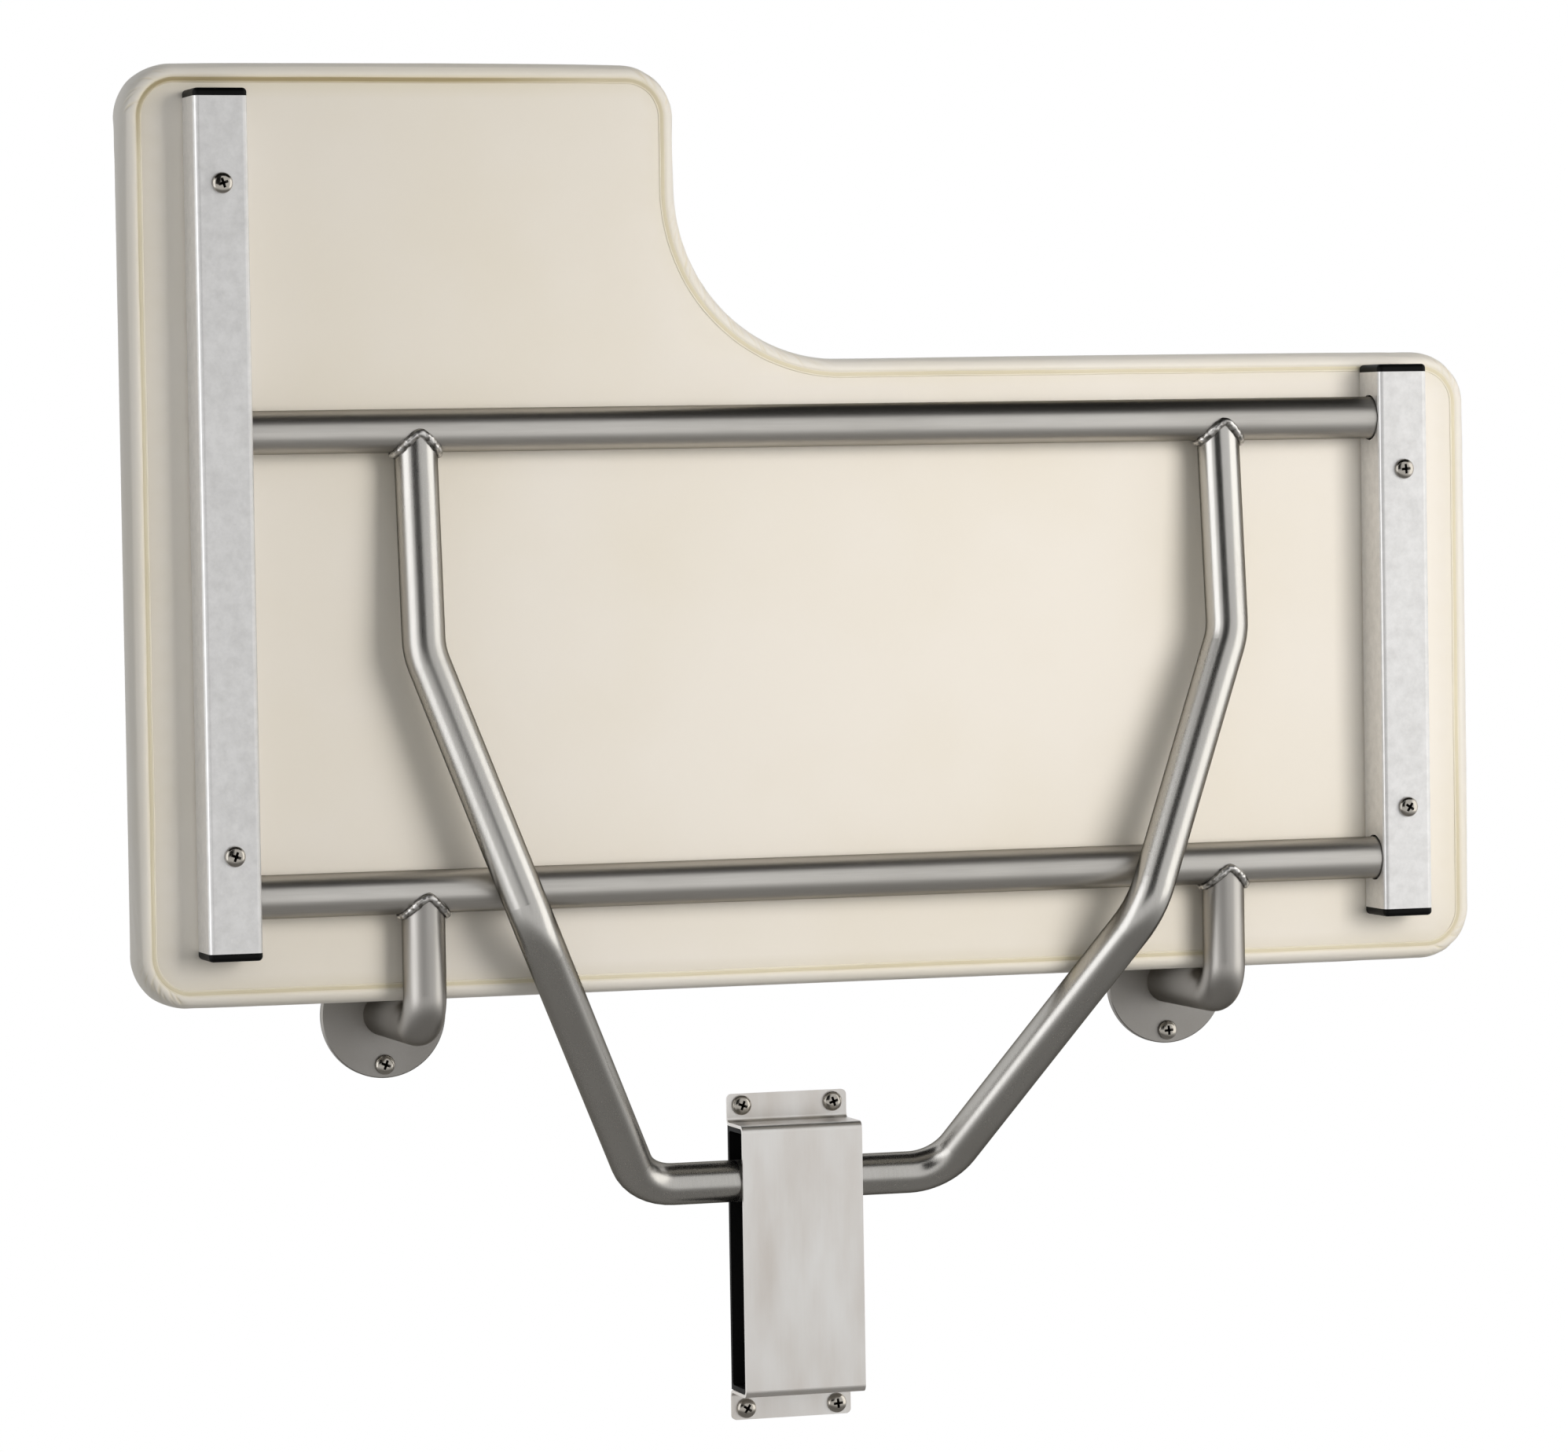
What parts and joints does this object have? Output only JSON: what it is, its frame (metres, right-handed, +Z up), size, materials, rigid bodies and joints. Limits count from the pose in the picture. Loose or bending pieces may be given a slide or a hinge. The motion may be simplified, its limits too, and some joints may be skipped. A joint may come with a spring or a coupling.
{
  "type": "fold down wall seat",
  "caption": "Fold-down wall seat: an L-shaped cream padded seat on a stainless tube frame that hinges on a wall-mounted tube, held level by a bent leg that slides in a wall bracket.",
  "frame": {"origin": "on the wall, midway between the centres of the two round wall flanges", "axes": "+X to the right along the wall as one faces it, +Y into the wall, +Z up; the seat is folded up against the wall"},
  "size_m": [0.838, 0.1613, 0.8178],
  "materials": {
    "stainless_tube": "satin stainless steel round tube, fine brushing along the tube",
    "stainless_rail": "satin stainless steel square tube, fine brushing along the rail",
    "stainless_plate": "satin stainless steel sheet and plate",
    "weld_metal": "rippled weld bead, cleaned stainless steel",
    "screw_steel": "plain stainless steel pan head screw",
    "black_plastic": "black moulded plastic with a soft shine",
    "black_nylon": "plain black nylon",
    "cream_vinyl": "cream vinyl upholstery over foam, soft sheen, fine grain",
    "underside_vinyl": "flat cream vinyl panel closed by a thin seam line",
    "plywood": "plain birch plywood",
    "insert_brass": "plain brass"
  },
  "bodies": {
    "wall_frame": {"left_wall_flange": "stainless_plate", "right_wall_flange": "stainless_plate", "left_wall_arm": "stainless_tube", "right_wall_arm": "stainless_tube", "left_arm_weld": "weld_metal", "right_arm_weld": "weld_metal", "rear_pivot_tube": "stainless_tube", "guide_bracket": "stainless_plate", "guide_liner": "black_nylon", "flange_screws": "screw_steel", "bracket_screws": "screw_steel"},
    "seat": {"seat_pad": "cream_vinyl", "seat_board": "plywood", "underside_cover": "underside_vinyl", "left_rail": "stainless_rail", "right_rail": "stainless_rail", "left_rail_upper_cap": "black_plastic", "left_rail_lower_cap": "black_plastic", "right_rail_upper_cap": "black_plastic", "right_rail_lower_cap": "black_plastic", "left_front_pivot_block": "black_nylon", "left_rear_pivot_block": "black_nylon", "right_front_pivot_block": "black_nylon", "right_rear_pivot_block": "black_nylon", "board_inserts": "insert_brass", "rail_screws": "screw_steel"},
    "support_leg": {"front_pivot_tube": "stainless_tube", "left_leg_tube": "stainless_tube", "right_leg_tube": "stainless_tube", "left_leg_weld": "weld_metal", "right_leg_weld": "weld_metal"},
    "guide_slider": {"guide_bar": "stainless_tube"}
  },
  "joints": [
    {"name": "seat_fold", "type": "hinge", "parent": "wall_frame", "child": "seat", "pos_m": [0, -0.1016, 0.079], "axis": [1, 0, 0], "range_deg": [0, 90]},
    {"name": "leg_swing", "type": "hinge", "parent": "seat", "child": "support_leg", "pos_m": [0, -0.1016, 0.347], "axis": [1, 0, 0], "range_deg": [-51, 0]},
    {"name": "guide_slide", "type": "slide", "parent": "wall_frame", "child": "guide_slider", "axis": [0, 0, -1], "range_m": [0, 0.1128]}
  ],
  "couplings": [
    {"joint": "leg_swing", "follows": "seat_fold", "ratio": -0.56664},
    {"joint": "guide_slide", "follows": "seat_fold", "m_per_rad": 0.071787}
  ]
}
